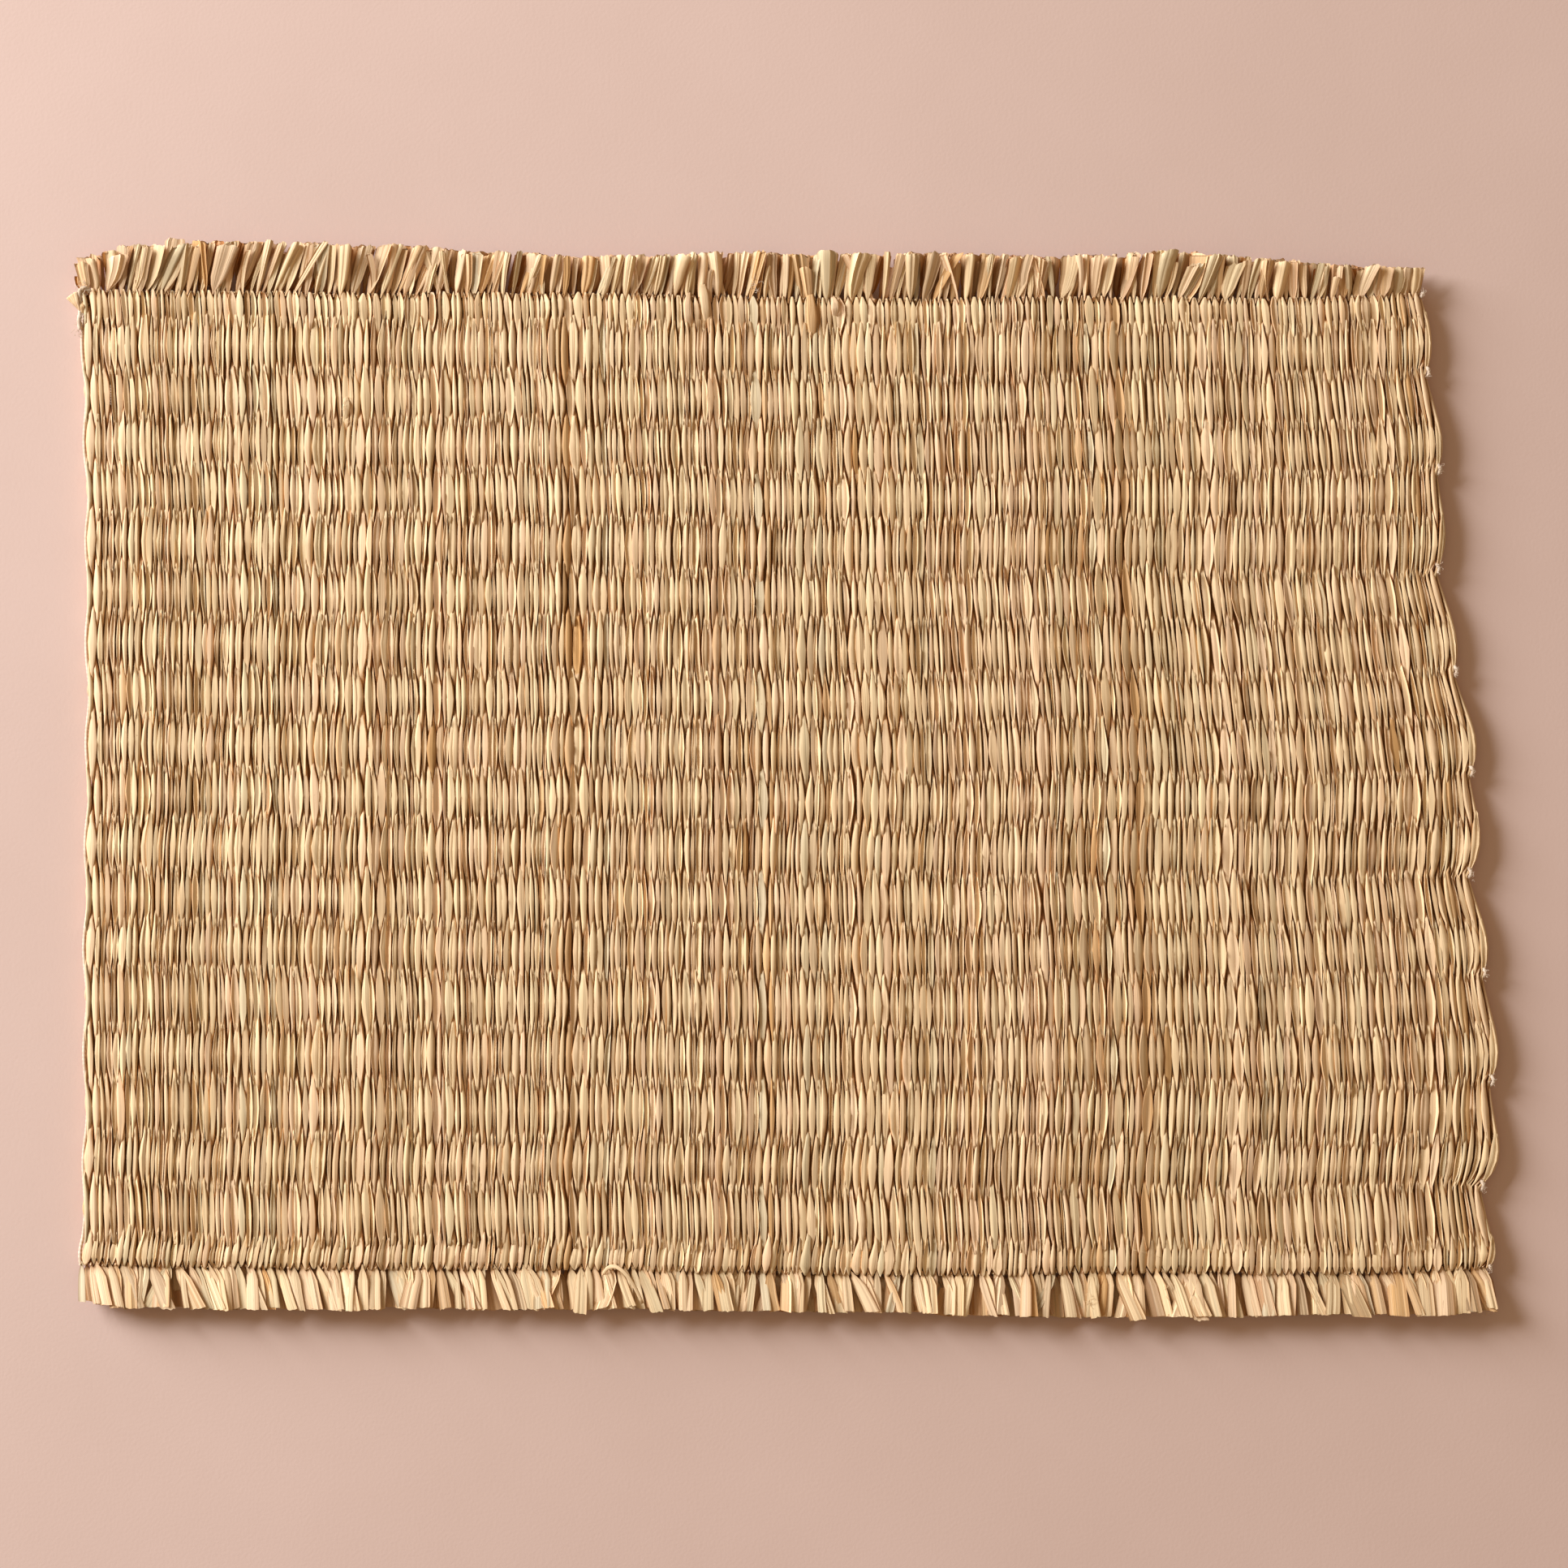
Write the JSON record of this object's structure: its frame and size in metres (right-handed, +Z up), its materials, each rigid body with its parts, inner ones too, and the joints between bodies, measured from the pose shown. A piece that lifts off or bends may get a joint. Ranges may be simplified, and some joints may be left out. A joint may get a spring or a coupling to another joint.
{
  "type": "woven cattail placemat",
  "caption": "Flat rectangular placemat of woven cattail leaves, with ribbed rows, cotton cord at its short edges and a fringe of cut leaf ends along its long edges.",
  "frame": {"origin": "middle of the mat's footprint, on the surface that it lies on", "axes": "+X along the long side, +Y along the leaves, +Z up out of the upper face"},
  "size_m": [0.4817, 0.364, 0.0075],
  "materials": {
    "woven_leaf": "dried cattail leaf, straw coloured, dull with a faint waxy sheen",
    "cut_leaf_end": "dried cattail leaf, cut, paler and drier than the woven leaf",
    "cotton_cord": "undyed twisted cotton, matte"
  },
  "bodies": {
    "root": {"woven_leaves": "woven_leaf", "fringe_far": "cut_leaf_end", "fringe_near": "cut_leaf_end", "selvage_cord": "cotton_cord", "cord_turn_01": "cotton_cord", "cord_turn_02": "cotton_cord", "cord_turn_03": "cotton_cord", "cord_turn_04": "cotton_cord", "cord_turn_05": "cotton_cord", "cord_turn_06": "cotton_cord", "cord_turn_07": "cotton_cord", "cord_turn_08": "cotton_cord", "cord_turn_09": "cotton_cord", "cord_turn_10": "cotton_cord", "cord_turn_11": "cotton_cord"}
  },
  "joints": []
}
